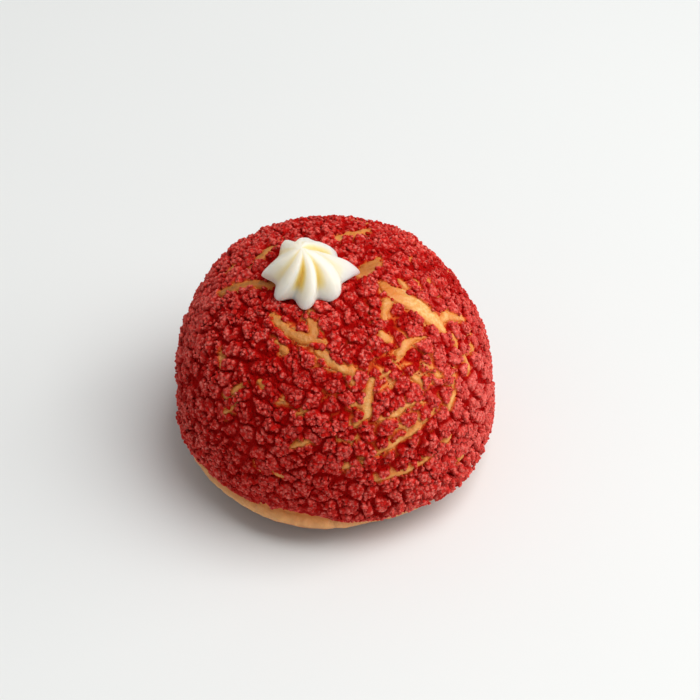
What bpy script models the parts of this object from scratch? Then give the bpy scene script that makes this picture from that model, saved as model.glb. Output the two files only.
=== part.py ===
"""A cream puff baked under a red craquelin: a choux bun, its cracked biscuit crust and a piped cream star.

Units are metres, +Z is up, and the bun rests on z = 0 with its widest ring centred on the Z axis.
A place on the bun is a bearing (degrees round the bun, 0 at the front on -Y, 90 at +X)
and a drop (metres along its surface from the crown).  A lift is a height above that surface.
"""

import math

import bmesh
import bpy
import numpy as np
from mathutils import Vector
from mathutils.geometry import delaunay_2d_cdt

MM = 0.001

# The bun: a high dome on a tucked-in belly, cut flat where it sat on the baking tray.
BUN_RADIUS = 37.0 * MM
WIDEST_HEIGHT = 11.0 * MM
DOME_RISE = 43.9 * MM
DOME_POWER = 2.48
BELLY_DEPTH = 14.0 * MM
BELLY_POWER = 1.8
LEAN = 2.8 * MM  # the crown leans this far to -X
BUN_HEIGHT = WIDEST_HEIGHT + DOME_RISE

# The choux lies this deep under the crust, and swells out to the full bun below it.
CHOUX_DEPTH = 2.0 * MM
CHOUX_DEPTH_AT_EDGE = 1.3 * MM
BELLY_LIFT = 0.4 * MM
BELLY_START, BELLY_END = 0.8 * MM, 3.6 * MM  # it swells out this far past the crust's edge
BELLY_WRINKLE = 0.25 * MM
FEATHER = 8.0 * MM  # the crust thins out over this length above its edge
GAP = 0.45 * MM

# The crust's lower edge.
EDGE_DROP = 67.5 * MM
EDGE_RISE_FRONT = 2.6 * MM  # it sits this much higher at the front left
EDGE_RISE_BEARING = -25.0
EDGE_RISE_SPREAD = 45.0
EDGE_RAGGED = 0.6 * MM

# The pebbles the crust broke into as the choux swelled, and the furrows between them.
PEBBLE_SIZE = 7.8 * MM
PEBBLE_UNEVEN = 0.26  # how far pebbles stray from even rows, as a share of their size
PEBBLE_TOP = 0.65 * MM
PEBBLE_TOP_AT_EDGE = 0.1 * MM
PEBBLE_TOP_SPREAD = 0.3 * MM
SHOULDER_SHARE = 0.62  # a pebble's shoulder lies at this share of the way out to its furrow
SHOULDER_STANDING = 0.82  # and stands up by this share of its top
FURROW_LIFT = -0.65 * MM
THINNEST = 0.4 * MM

# The piped star, pressed onto the crust beside the crown.
STAR_BEARING = -59.0
STAR_DROP = 4.3 * MM
STAR_HEIGHT = 8.2 * MM
STAR_FOOT_SHARE = 0.84  # the foot tucks in under the ridges to this share of their reach
STAR_WIDEST_SHARE = 0.14  # the height of the ridges' widest points, as a share of the star's
STAR_ROUNDNESS = 1.6
STAR_VALLEY = 0.27  # depth of the valleys, as a share of the ridges' reach
STAR_SEAT_LIFT = 0.1 * MM  # the crust is pressed to this lift under the star
STAR_SEAT_RADIUS = 12.5 * MM
STAR_APEX_DRIFT = (-1.4 * MM, 0.6 * MM)
STAR_TWIST = 14.0
# Each ridge's bearing, and the reach of its foot from the star's axis.
STAR_RIDGES = (
    (-98.0, 10.4 * MM),
    (-52.0, 9.6 * MM),
    (-7.0, 10.5 * MM),
    (35.0, 9.5 * MM),
    (88.0, 11.2 * MM),
    (133.0, 9.4 * MM),
    (176.0, 9.2 * MM),
    (219.0, 9.6 * MM),
)

# The widest cracks in the crust: full width in mm, then (bearing, drop in mm) along each.
CRACKS = (
    (2.6, ((-89, 28), (-88, 20), (-80, 15))),
    (1.5, ((-145, 17), (-128, 16), (-110, 19))),
    (2.0, ((165, 12), (156, 15), (148, 19))),
    (2.2, ((90, 7), (96, 10), (108, 12), (118, 13))),
    (3.2, ((66, 13), (72, 19), (71, 24), (71, 31))),
    (2.2, ((-38, 19), (-27, 20), (-14, 20), (-7, 21), (0, 24), (7, 28))),
    (1.7, ((60, 26), (49, 25), (39, 27), (31, 29), (22, 30), (16, 33), (15, 37), (9, 39))),
    (1.6, ((43, 43), (32, 46), (23, 47), (17, 47))),
    (1.5, ((12, 54), (25, 54), (39, 53))),
    (1.6, ((-33, 31), (-28, 33), (-17, 35))),
    (1.6, ((86, 39), (77, 41), (68, 42))),
    (2.0, ((-150, 30), (-162, 33), (-172, 31))),
    (1.8, ((170, 44), (155, 47), (140, 46))),
    (2.0, ((130, 31), (120, 36), (117, 42))),
    (1.8, ((-118, 40), (-108, 43), (-100, 48))),
)
CRACK_STEP = 3.3 * MM  # length between the places where a crack's edge turns

# How finely the choux and the star are faceted.
COVERED_RINGS, BELLY_RINGS, CHOUX_SEGMENTS = 11, 5, 42
STAR_RINGS, STAR_SEGMENTS_PER_RIDGE = 8, 6
PROFILE_POINTS = 1200


def bun_profile():
    """The bun's meridian from crown to foot, as drop, radius, height and outward normal at each point.

    Above the widest ring it is a superellipse quarter of power DOME_POWER,
    below it one of power BELLY_POWER, which the tray cuts off at z = 0.
    """
    turn = np.linspace(0, math.pi / 2, PROFILE_POINTS)
    dome_radius = BUN_RADIUS * np.sin(turn) ** (2 / DOME_POWER)
    dome_height = WIDEST_HEIGHT + DOME_RISE * np.cos(turn) ** (2 / DOME_POWER)
    belly_radius = BUN_RADIUS * np.cos(turn[1:]) ** (2 / BELLY_POWER)
    belly_height = WIDEST_HEIGHT - BELLY_DEPTH * np.sin(turn[1:]) ** (2 / BELLY_POWER)
    radius = np.concatenate([dome_radius, belly_radius[belly_height > 0]])
    height = np.concatenate([dome_height, belly_height[belly_height > 0]])
    drop = np.concatenate([[0], np.cumsum(np.hypot(np.diff(radius), np.diff(height)))])
    outward, down = np.gradient(radius, drop), np.gradient(height, drop)
    size = np.hypot(outward, down)
    return drop, radius, height, -down / size, outward / size


DROP, RADIUS, HEIGHT, NORMAL_OUT, NORMAL_UP = bun_profile()
FOOT_DROP = float(DROP[-1])


def on_bun(bearing, drop, lift):
    """The points at these bearings and drops, at this lift, with the bun's lean."""
    turn = np.radians(bearing)
    radius = np.interp(drop, DROP, RADIUS) + lift * np.interp(drop, DROP, NORMAL_OUT)
    height = np.interp(drop, DROP, HEIGHT) + lift * np.interp(drop, DROP, NORMAL_UP)
    lean = -LEAN * (height - WIDEST_HEIGHT) / BUN_HEIGHT
    return np.stack([radius * np.sin(turn) + lean, -radius * np.cos(turn), height], axis=-1)


def smooth_step(low, high, value):
    """0 below low, 1 above high, and a smooth rise between them."""
    share = np.clip((value - low) / (high - low), 0, 1)
    return share * share * (3 - 2 * share)


def edge_drop(bearing):
    """Where the crust ends: higher at the front left, and a little ragged all round."""
    apart = np.abs((bearing - EDGE_RISE_BEARING + 180) % 360 - 180)
    turn = np.radians(bearing)
    ragged = EDGE_RAGGED * (np.sin(5 * turn + 1) + np.sin(8 * turn)) / 2
    return EDGE_DROP - EDGE_RISE_FRONT * np.exp(-((apart / EDGE_RISE_SPREAD) ** 2)) + ragged


def star_seat(bearing, drop):
    """1 under the star, where it presses the crust down, fading to 0 round it."""
    away = np.linalg.norm(on_bun(bearing, drop, 0.0) - on_bun(STAR_BEARING, STAR_DROP, 0.0), axis=-1)
    return 1 - smooth_step(STAR_SEAT_RADIUS - 2 * MM, STAR_SEAT_RADIUS + 2 * MM, away)


def choux_lift(bearing, drop):
    """The choux is deep under the crust, less so near the crust's edge, and swells out below it."""
    past_edge = drop - edge_drop(bearing)
    lift = -CHOUX_DEPTH + (CHOUX_DEPTH - CHOUX_DEPTH_AT_EDGE) * smooth_step(-FEATHER, 0, past_edge)
    return lift + (CHOUX_DEPTH_AT_EDGE + BELLY_LIFT) * smooth_step(BELLY_START, BELLY_END, past_edge)


def add_piece(name, points, faces, colour, roughness):
    """Puts a closed solid with these faces in the scene, in its own material and facing outwards."""
    mesh = bpy.data.meshes.new(name)
    mesh.from_pydata([tuple(p) for p in points], [], faces)
    solid = bmesh.new()
    solid.from_mesh(mesh)
    bmesh.ops.triangulate(solid, faces=solid.faces)
    bmesh.ops.recalc_face_normals(solid, faces=solid.faces)
    solid.to_mesh(mesh)
    solid.free()
    piece = bpy.data.objects.new(name, mesh)
    bpy.context.scene.collection.objects.link(piece)
    material = bpy.data.materials.new(name)
    material.use_nodes = True
    surface = material.node_tree.nodes["Principled BSDF"]
    surface.inputs["Base Color"].default_value = (*colour, 1.0)
    surface.inputs["Roughness"].default_value = roughness
    surface.inputs["Metallic"].default_value = 0.0
    mesh.materials.append(material)
    mesh.shade_smooth()
    mesh.set_sharp_from_angle(angle=math.radians(60))


def ringed(rings, first_pole, last_pole):
    """The points and faces of a solid made of rings, each closed on itself, with a fan at either end."""
    count, segments = len(rings), len(rings[0])
    points = [first_pole] + [p for ring in rings for p in ring] + [last_pole]

    def at(ring, segment):
        return 1 + ring * segments + segment % segments

    last = len(points) - 1
    faces = [(0, at(0, s), at(0, s + 1)) for s in range(segments)]
    faces += [(last, at(count - 1, s + 1), at(count - 1, s)) for s in range(segments)]
    for ring in range(count - 1):
        for s in range(segments):
            faces.append((at(ring, s), at(ring + 1, s), at(ring + 1, s + 1), at(ring, s + 1)))
    return points, faces


def make_choux():
    """The baked choux: the whole body of the bun, with its flat foot."""
    bearing = np.arange(CHOUX_SEGMENTS) * 360 / CHOUX_SEGMENTS
    edge = edge_drop(bearing)
    rings = []
    for share in np.linspace(0, 1, COVERED_RINGS + 1)[1:]:
        rings.append(on_bun(bearing, share * edge, choux_lift(bearing, share * edge)))
    for share in np.linspace(0, 1, BELLY_RINGS + 1)[1:] ** 0.8:
        drop = edge + share * (FOOT_DROP - edge)
        wrinkle = np.sin(np.radians(9 * bearing) + 5 * share) * math.sin(math.pi * share)
        ring = on_bun(bearing, drop, choux_lift(bearing, drop) + BELLY_WRINKLE * wrinkle)
        ring[:, 2] *= 1 - smooth_step(0.8, 1.0, share)
        rings.append(ring)
    crown = on_bun(0.0, 0.0, -CHOUX_DEPTH)
    points, faces = ringed(rings, crown, (0.0, 0.0, 0.0))
    add_piece("choux_bun", points, faces, (0.72, 0.42, 0.14), 0.5)


def flattening():
    """For each profile point, how far from the centre it lands when the crust is spread flat.

    The spread keeps small shapes true: the distance grows in step with its own size over the ring's radius.
    """
    growth = np.diff(DROP[1:]) / (0.5 * (RADIUS[1:-1] + RADIUS[2:]))
    return np.concatenate([[0], DROP[1] * np.exp(np.concatenate([[0], np.cumsum(growth)]))])


SPREAD = flattening()


def spread_flat(bearing, drop):
    """Where places on the bun land when the crust is spread flat."""
    turn, away = np.radians(bearing), np.interp(drop, DROP, SPREAD)
    return np.stack([away * np.sin(turn), -away * np.cos(turn)], axis=-1)


def wrap_back(flat):
    """The bearings and drops of places on the flat spread."""
    away = np.hypot(flat[:, 0], flat[:, 1])
    return np.degrees(np.arctan2(flat[:, 0], -flat[:, 1])), np.interp(away, SPREAD, DROP)


def pebble_rows(random):
    """Pebble centres in staggered rows round the crown, each strayed a little, down to the crust's edge."""
    places = [(0.0, 0.0)]
    for row, drop in enumerate(np.arange(PEBBLE_SIZE, EDGE_DROP, 0.88 * PEBBLE_SIZE)):
        ring = float(np.interp(drop, DROP, RADIUS))
        count = round(2 * math.pi * ring / PEBBLE_SIZE)
        stray = random.uniform(-PEBBLE_UNEVEN, PEBBLE_UNEVEN, (2, count))
        bearing = (np.arange(count) + row % 2 / 2 + stray[0]) * 360 / count
        places += zip(bearing, drop + stray[1] * PEBBLE_SIZE)
    return np.array(places)


def edge_places(past_edge, half_step, random):
    """Places in an uneven row along the crust's edge, this far past it."""
    count = round(2 * math.pi * BUN_RADIUS / (0.8 * PEBBLE_SIZE))
    stray = random.uniform(-0.15, 0.15, (2, count))
    bearing = (np.arange(count) + half_step + stray[0]) * 360 / count - 180
    return np.stack([bearing, edge_drop(bearing) + past_edge + stray[1] * 0.5 * PEBBLE_SIZE], axis=-1)


def crack_places(width, path):
    """Evenly stepped places along a crack, and the pebble centres that line it on either side."""
    bearing, drop = np.array(path, float).T
    drop = drop * MM
    across = np.radians(bearing - bearing[0]) * np.interp(drop, DROP, RADIUS).mean()
    length = np.concatenate([[0], np.cumsum(np.hypot(np.diff(across), np.diff(drop)))])
    station = np.linspace(0, length[-1], max(2, round(length[-1] / CRACK_STEP) + 1))
    bearing, drop = np.interp(station, length, bearing), np.interp(station, length, drop)
    ring = np.interp(drop, DROP, RADIUS)
    along = np.stack([np.gradient(np.radians(bearing)) * ring, np.gradient(drop)])
    along /= np.hypot(along[0], along[1])
    lining = []
    for side in (-1, 1):
        away = side * width * MM
        beside = bearing + np.degrees(-along[1] * away / ring), drop + along[0] * away
        lining.append(np.stack(beside, axis=-1))
    return np.stack([bearing, drop], axis=-1), np.concatenate(lining)


def clear_of(places, others, room):
    """Those places that lie at least this far from all the others."""
    here = on_bun(places[:, 0], places[:, 1], 0.0)
    there = on_bun(others[:, 0], others[:, 1], 0.0)
    away = np.linalg.norm(here[:, None] - there[None], axis=2).min(axis=1)
    return places[away > room]


def lay_out_crust():
    """Centres of all the pebbles, then of the open places in the cracks and past the crust's edge."""
    cracks = [crack_places(width, path) for width, path in CRACKS]
    in_cracks = np.concatenate([middle for middle, _ in cracks])
    lining = np.concatenate([clear_of(beside, in_cracks, 1.3 * MM) for _, beside in cracks])
    random = np.random.default_rng(4)
    rim = edge_places(-0.3 * PEBBLE_SIZE, 0.0, random)
    beyond = edge_places(0.2 * PEBBLE_SIZE, 0.5, random)
    rows = pebble_rows(random)
    rows = rows[rows[:, 1] < edge_drop(rows[:, 0]) - 0.95 * PEBBLE_SIZE]
    rows = clear_of(rows, np.concatenate([in_cracks, lining]), 0.6 * PEBBLE_SIZE)
    pebbles = np.concatenate([rows, lining, rim])
    return pebbles, np.concatenate([in_cracks, beyond])


def pebble_outlines(pebbles, open_places):
    """The corners where three places meet, and each pebble's corners in order round it."""
    flat = spread_flat(*np.concatenate([pebbles, open_places]).T)
    result = delaunay_2d_cdt([Vector(p) for p in flat], [], [], 0, 1e-9)
    triangles = np.array(result[2])
    corners = wrap_back(flat[triangles].mean(axis=1))
    outlines = []
    for pebble in range(len(pebbles)):
        around = np.nonzero((triangles == pebble).any(axis=1))[0]
        away = flat[triangles[around]].mean(axis=1) - flat[pebble]
        outlines.append([int(c) for c in around[np.argsort(np.arctan2(away[:, 1], away[:, 0]))]])
    return corners, outlines


def joined_pebbles(outlines):
    """The pebbles that hang together with the first one through shared sides."""
    sides = {}
    for pebble, outline in enumerate(outlines):
        for a, b in zip(outline, outline[1:] + outline[:1]):
            sides.setdefault(frozenset((a, b)), []).append(pebble)
    neighbours = {}
    for pair in sides.values():
        for pebble in pair:
            neighbours.setdefault(pebble, set()).update(pair)
    joined, waiting = {0}, [0]
    while waiting:
        fresh = neighbours[waiting.pop()] - joined
        joined |= fresh
        waiting += fresh
    return sorted(joined)


def crust_lifts(bearing, drop, standing):
    """The crust's outer lift where it stands up by this share, and its inner lift over the choux."""
    feather = smooth_step(-FEATHER, 0, drop - edge_drop(bearing))
    seat = star_seat(bearing, drop)
    top = PEBBLE_TOP + (PEBBLE_TOP_AT_EDGE - PEBBLE_TOP) * feather
    outer = (FURROW_LIFT + (top - FURROW_LIFT) * standing) * (1 - seat) + STAR_SEAT_LIFT * seat
    inner = choux_lift(bearing, drop) + GAP
    return np.maximum(outer, inner + THINNEST), inner


def pebble_points(place, outline, standing):
    """A pebble's top, then its shoulder in order round it."""
    middle = spread_flat(*place)
    shoulder = wrap_back(middle + (outline - middle) * SHOULDER_SHARE)
    top = on_bun(*place, crust_lifts(*place, standing)[0])
    return [top, *on_bun(*shoulder, crust_lifts(*shoulder, standing * SHOULDER_STANDING)[0])]


def make_crust():
    """The craquelin: a thin biscuit shell of pebbles, open at the cracks and feathered at its edge."""
    pebbles, open_places = lay_out_crust()
    corners, outlines = pebble_outlines(pebbles, open_places)
    kept = joined_pebbles(outlines)
    spread = PEBBLE_TOP_SPREAD / (PEBBLE_TOP - FURROW_LIFT)
    standing = 1 - np.random.default_rng(9).uniform(0, spread, len(pebbles))
    outer, inner = (on_bun(*corners, lift) for lift in crust_lifts(*corners, 0.0))
    count = len(outer)
    points, faces, sides = [*outer, *inner], [], set()
    for pebble in kept:
        outline = outlines[pebble]
        first = len(points)
        points += pebble_points(pebbles[pebble], spread_flat(*corners)[outline], standing[pebble])
        size = len(outline)
        for i, (a, b) in enumerate(zip(outline, outline[1:] + outline[:1])):
            near, far = first + 1 + i, first + 1 + (i + 1) % size
            faces += [(first, near, far), (near, a, b, far)]
            sides.add((a, b))
        faces.append(tuple(count + c for c in outline[::-1]))
    faces += [(b, a, count + a, count + b) for a, b in sides if (b, a) not in sides]
    used = sorted({c for face in faces for c in face})
    order = {old: new for new, old in enumerate(used)}
    faces = [tuple(order[c] for c in face) for face in faces]
    add_piece("craquelin_crust", [points[old] for old in used], faces, (0.38, 0.03, 0.03), 0.85)


def star_outline(bearing):
    """How far the ridges reach at each bearing, and 0 in a valley to 1 on a ridge."""
    ridges = np.array(sorted((b % 360, reach) for b, reach in STAR_RIDGES))
    around = np.concatenate([ridges[-1:] - [360, 0], ridges, ridges[:1] + [360, 0]])
    phase = np.interp(bearing % 360, around[:, 0], np.arange(len(around)))
    return np.interp(bearing % 360, around[:, 0], around[:, 1]), 0.5 + 0.5 * np.cos(2 * math.pi * phase)


def seat_height(across, deep):
    """The height at which the star's underside rests over this point of the pressed crust."""
    lean = -LEAN * DOME_RISE / BUN_HEIGHT
    away = np.hypot(np.asarray(across) - lean, deep)
    dome = slice(0, PROFILE_POINTS)
    height = np.interp(away, RADIUS[dome], HEIGHT[dome])
    return height + (STAR_SEAT_LIFT + GAP) / np.interp(away, RADIUS[dome], NORMAL_UP[dome])


def make_star():
    """The cream star as it leaves an eight-point nozzle: rounded ridges that close in a low twisted tip."""
    ridge_bearings = np.array(sorted(b % 360 for b, _ in STAR_RIDGES))
    next_bearings = np.append(ridge_bearings[1:], ridge_bearings[0] + 360)
    steps = np.arange(STAR_SEGMENTS_PER_RIDGE) / STAR_SEGMENTS_PER_RIDGE
    bearing = (ridge_bearings[:, None] + (next_bearings - ridge_bearings)[:, None] * steps).ravel()
    reach, ridge = star_outline(bearing)
    centre = on_bun(STAR_BEARING, STAR_DROP, STAR_SEAT_LIFT + GAP)
    top = centre[2] + STAR_HEIGHT

    def ring(height_share, reach_share):
        turn = np.radians(bearing + STAR_TWIST * height_share)
        radius = reach * reach_share * (1 - STAR_VALLEY * (1 - ridge**0.7))
        across = centre[0] + radius * np.sin(turn) + STAR_APEX_DRIFT[0] * height_share
        deep = centre[1] - radius * np.cos(turn) + STAR_APEX_DRIFT[1] * height_share
        seat = seat_height(across, deep)
        return np.stack([across, deep, seat + (top - seat) * height_share], axis=-1)

    rings = [ring(0.0, share * STAR_FOOT_SHARE) for share in (0.5, 1.0)]
    rings.append(ring(STAR_WIDEST_SHARE * 0.4, 0.96))
    for turn in np.linspace(0, math.pi / 2, STAR_RINGS + 1)[:-1]:
        up = STAR_WIDEST_SHARE + (1 - STAR_WIDEST_SHARE) * math.sin(turn) ** (2 / STAR_ROUNDNESS)
        rings.append(ring(up, math.cos(turn) ** (2 / STAR_ROUNDNESS)))
    under = (centre[0], centre[1], float(seat_height(centre[0], centre[1])))
    tip = (centre[0] + STAR_APEX_DRIFT[0], centre[1] + STAR_APEX_DRIFT[1], top)
    points, faces = ringed(rings, under, tip)
    add_piece("cream_star", points, faces, (0.90, 0.85, 0.72), 0.45)


def main():
    for old in list(bpy.data.objects):
        bpy.data.objects.remove(old)
    make_choux()
    make_crust()
    make_star()


main()
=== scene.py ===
"""A cream puff with a red craquelin crust and a piped cream star, built up piece by piece.

Shapes are worked out in millimetres and turned to metres when a mesh is made.  A place on the bun is a turn
(radians round it, 0 at the front on -Y, a quarter turn at +X) and a drop (length down its surface from the crown).
"""

import math

import bpy
import numpy as np
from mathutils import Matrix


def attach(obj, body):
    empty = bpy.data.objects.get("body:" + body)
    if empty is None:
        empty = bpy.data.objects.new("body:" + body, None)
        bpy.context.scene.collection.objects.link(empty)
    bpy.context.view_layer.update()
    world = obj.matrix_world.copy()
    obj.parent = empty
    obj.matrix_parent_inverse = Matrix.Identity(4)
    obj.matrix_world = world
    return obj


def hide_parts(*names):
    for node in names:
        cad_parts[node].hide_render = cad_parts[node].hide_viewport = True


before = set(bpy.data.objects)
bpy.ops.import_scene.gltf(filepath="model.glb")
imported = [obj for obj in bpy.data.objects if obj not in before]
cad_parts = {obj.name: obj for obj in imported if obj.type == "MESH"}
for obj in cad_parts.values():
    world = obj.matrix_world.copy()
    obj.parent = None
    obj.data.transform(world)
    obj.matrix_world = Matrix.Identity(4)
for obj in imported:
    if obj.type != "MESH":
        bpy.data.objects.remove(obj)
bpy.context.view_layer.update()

# ---------------------------------------------------------------------------------------------------------------
# The choux bun: choux paste piped in one mound, which baked into a golden hollow shell with a flat foot.
# It swelled up through the cracks of its crust, pale where it broke open last and painted paler where lit, and bulges
# out uncovered below it.
# ---------------------------------------------------------------------------------------------------------------
BUN_RADIUS, WIDEST_HEIGHT = 37.0, 11.0
DOME_RISE, DOME_POWER = 43.9, 2.48
BELLY_DEPTH, BELLY_POWER = 14.0, 1.8
BUN_HEIGHT = WIDEST_HEIGHT + DOME_RISE
LEAN, FRONT_DRAWN_IN = 2.8, 0.85
EDGE_DROP, EDGE_RISE, EDGE_RISE_TURN, EDGE_RISE_SPREAD = 68.0, 1.2, math.radians(-18), math.radians(40)
EDGE_SAG = 3.9
CHOUX_DEPTH, CHOUX_DEPTH_AT_EDGE, FEATHER = 2.0, 1.3, 8.0
CRACK_SWELL = 1.65
BELLY_LIFT, BELLY_START, BELLY_END = 0.4, 0.8, 3.6

# Each crack in the crust: its full width, then (bearing in degrees, drop) along it.
CRACKS = (
    (2.2, ((-73, 12), (-85, 17.5), (-86, 21), (-89, 26))),
    (1.7, ((-104, 17.5), (-118, 16.5), (-131, 15.8), (-146, 16.9))),
    (0.8, ((-104, 24.5), (-111, 22.5))),
    (0.9, ((-59.5, 31.5), (-54, 34.2))),
    (2.6, ((-45, 17), (-33, 18), (-22, 19), (-11, 19.4), (-4, 19.6))),
    (2.1, ((-21, 11), (-16, 14), (-10, 17), (-5, 19.3))),
    (1.3, ((-34, 21.6), (-29, 22.4), (-24, 23.6))),
    (2.0, ((-8.5, 21.3), (-0.5, 23), (6, 25.3), (11, 27.2))),
    (2.2, ((168, 11.2), (161, 13.5), (155, 16.2), (150, 19.5))),
    (2.6, ((78, 6.6), (91.5, 8.6), (103, 10.8), (113, 12.8))),
    (4.6, ((73, 13.5), (71, 16), (71, 22), (71, 28), (70, 30))),
    (2.1, ((73, 28), (80, 30), (85, 34))),
    (2.1, ((61, 15.5), (50, 17), (45, 18.5))),
    (2.0, ((36, 19.6), (38.5, 23))),
    (2.1, ((57, 27), (52, 25.6), (46, 25.3), (38, 26.8), (34, 28.2))),
    (2.0, ((22, 29), (18.5, 31), (16.5, 34), (15, 37), (10, 38.7))),
    (1.0, ((8, 34), (16, 34.6))),
    (1.3, ((13, 25.5), (11.5, 29.8))),
    (1.5, ((22, 29.5), (31.5, 28.9))),
    (1.8, ((20, 38.8), (28.5, 38.3), (32, 37.4), (39, 38.3), (42, 39.8))),
    (2.0, ((57, 42), (53, 43), (50.5, 44.5))),
    (2.0, ((16.5, 47), (21.5, 45.9), (26.5, 45), (32.5, 44.4), (38, 43), (44, 41.8))),
    (1.0, ((2, 50), (7, 49.4), (11.5, 48.6))),
    (1.2, ((15, 54.2), (25, 54.5), (33, 53.8), (39, 53.2))),
    (0.9, ((42.5, 52.3), (48, 51.3))),
    (0.7, ((49.5, 60.5), (53, 60))),
    (0.9, ((-46, 39.5), (-42.5, 36.3), (-39.3, 33.3))),
    (0.7, ((-46, 44.4), (-42.5, 41.5), (-40, 39.2))),
    (1.1, ((-33, 32), (-28, 33.3), (-23, 33.9), (-18.5, 34.1))),
    (0.7, ((-15, 45), (-8, 42.3))),
    (0.7, ((-14, 37), (-10, 35.6))),
    (0.6, ((-29.5, 53.3), (-27.5, 54.8))),
    (0.7, ((-23, 53), (-17, 54.4))),
    (1.1, ((87, 34), (84.5, 38), (79, 40), (74.5, 41.5))),
    (0.9, ((76, 36.5), (71, 38.5))),
    (1.7, ((70.5, 39.5), (68, 42))),
    (1.2, ((72.5, 32.5), (69, 36))),
    (1.4, ((87, 16), (82, 18))),
    (1.1, ((99, 19.8), (87.5, 21.3))),
    (0.9, ((115.5, 20), (112.5, 22.7))),
    (0.7, ((97, 24), (90, 26))),
    (1.4, ((44, 36.3), (47.5, 35.8))),
    (1.2, ((50, 34.5), (53.5, 37))),
    (1.1, ((48, 31.2), (50, 33.5))),
    (1.0, ((61, 37.5), (55, 41.6))),
    (0.9, ((39, 31.8), (42.8, 33.8), (42, 36.2))),
    (0.9, ((24, 32.6), (28.5, 32.3))),
    (0.7, ((3.5, 42.2), (9, 41.9))),
    (0.9, ((27, 41.5), (29.5, 42.8))),
    (2.0, ((-150, 30), (-162, 33), (-172, 31))),
    (1.8, ((170, 44), (155, 47), (140, 46))),
    (2.0, ((130, 31), (120, 36), (117, 42))),
    (1.6, ((-118, 40), (-108, 43), (-100, 48))),
    (1.2, ((150, 27), (160, 25), (168, 26))),
    (1.2, ((-165, 50), (-152, 48))),
    (1.2, ((105, 52), (115, 50), (122, 51))),
)


def bun_profile(points=1500):
    """The meridian as drop, radius, height and outward normal: a superellipse quarter above the widest ring
    and another below it, which the tray cuts off at height 0."""
    turn = np.linspace(0, math.pi / 2, points)
    dome_radius = BUN_RADIUS * np.sin(turn) ** (2 / DOME_POWER)
    dome_height = WIDEST_HEIGHT + DOME_RISE * np.cos(turn) ** (2 / DOME_POWER)
    belly_radius = BUN_RADIUS * np.cos(turn[1:]) ** (2 / BELLY_POWER)
    belly_height = WIDEST_HEIGHT - BELLY_DEPTH * np.sin(turn[1:]) ** (2 / BELLY_POWER)
    radius = np.concatenate([dome_radius, belly_radius[belly_height > 0]])
    height = np.concatenate([dome_height, belly_height[belly_height > 0]])
    drop = np.concatenate([[0], np.cumsum(np.hypot(np.diff(radius), np.diff(height)))])
    outward, down = np.gradient(radius, drop), np.gradient(height, drop)
    size = np.hypot(outward, down)
    return drop, radius, height, -down / size, outward / size


DROP, RADIUS, HEIGHT, NORMAL_OUT, NORMAL_UP = bun_profile()
FOOT_DROP = float(DROP[-1])


def smooth_step(low, high, value):
    """0 below low, 1 above high, and a smooth rise between them."""
    share = np.clip((value - low) / (high - low), 0, 1)
    return share * share * (3 - 2 * share)


def on_bun(turn, drop, lift):
    """The point at this turn and drop on the turned profile, moved out along its normal by lift, with the lean;
    low on the front the round is drawn in a little."""
    radius = np.interp(drop, DROP, RADIUS) + lift * np.interp(drop, DROP, NORMAL_OUT)
    height = np.interp(drop, DROP, HEIGHT) + lift * np.interp(drop, DROP, NORMAL_UP)
    radius -= FRONT_DRAWN_IN * np.maximum(np.cos(turn), 0) ** 2 * smooth_step(35, 60, drop)
    lean = -LEAN * (height - WIDEST_HEIGHT) / BUN_HEIGHT
    return np.stack([radius * np.sin(turn) + lean, -radius * np.cos(turn), height], axis=-1)


def scatter(seed, *keys):
    """An even spread of numbers from 0 to 1, one for each set of whole-number keys: the keys are mixed bit by bit."""
    mixed = np.uint64(seed * 7919 + 1)
    for key in keys:
        mixed = (mixed ^ np.asarray(key, np.int64).astype(np.uint64)) * np.uint64(0x9E3779B97F4A7C15)
        mixed = (mixed ^ (mixed >> np.uint64(31))) * np.uint64(0xBF58476D1CE4E5B9)
        mixed = mixed ^ (mixed >> np.uint64(29))
    return (mixed >> np.uint64(40)).astype(float) / 2**24


def rough(points, size, seed):
    """A smooth random height from -1 to 1: random values at the corners of cubes of this size, eased between."""
    corner = np.floor(points / size).astype(np.int64)
    share = points / size - corner
    share = share * share * (3 - 2 * share)
    total = 0.0
    for step in np.ndindex(2, 2, 2):
        weight = np.prod(np.where(step, share, 1 - share), axis=-1)
        total = total + weight * scatter(seed, *np.moveaxis(corner + np.array(step), -1, 0))
    return 2 * total - 1


def edge_drop(turn):
    """Where the crust ends: an even ring, raised in a bell at the front left and sagging round the right side,
    with waves and small bites."""
    apart = np.abs((turn - EDGE_RISE_TURN + math.pi) % (2 * math.pi) - math.pi)
    sag = EDGE_SAG * smooth_step(-0.12, 0.24, np.sin(turn))
    waves = 0.3 * (np.sin(5 * turn + 1) + np.sin(8 * turn))
    ring = np.stack([np.sin(turn), -np.cos(turn), 0 * turn], axis=-1) * BUN_RADIUS
    bites = 0.45 * rough(ring, 3.1, 11) + 0.3 * rough(ring, 1.2, 12)
    bites -= 1.5 * np.exp(-(((np.degrees(turn) + 13) / 15) ** 2))
    bites -= 1.7 * np.exp(-(((np.degrees(turn) + 28) / 2.6) ** 2))
    return EDGE_DROP - EDGE_RISE * np.exp(-((apart / EDGE_RISE_SPREAD) ** 2)) + sag + waves + bites


def choux_lift(turn, drop):
    """Deep under the crust, less so near the crust's edge, then swelling out to the full belly below it."""
    past_edge = drop - edge_drop(turn)
    lift = -CHOUX_DEPTH + (CHOUX_DEPTH - CHOUX_DEPTH_AT_EDGE) * smooth_step(-FEATHER, 0, past_edge)
    return lift + (CHOUX_DEPTH_AT_EDGE + BELLY_LIFT) * smooth_step(BELLY_START - 1.2, BELLY_END - 1.6, past_edge)


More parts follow.
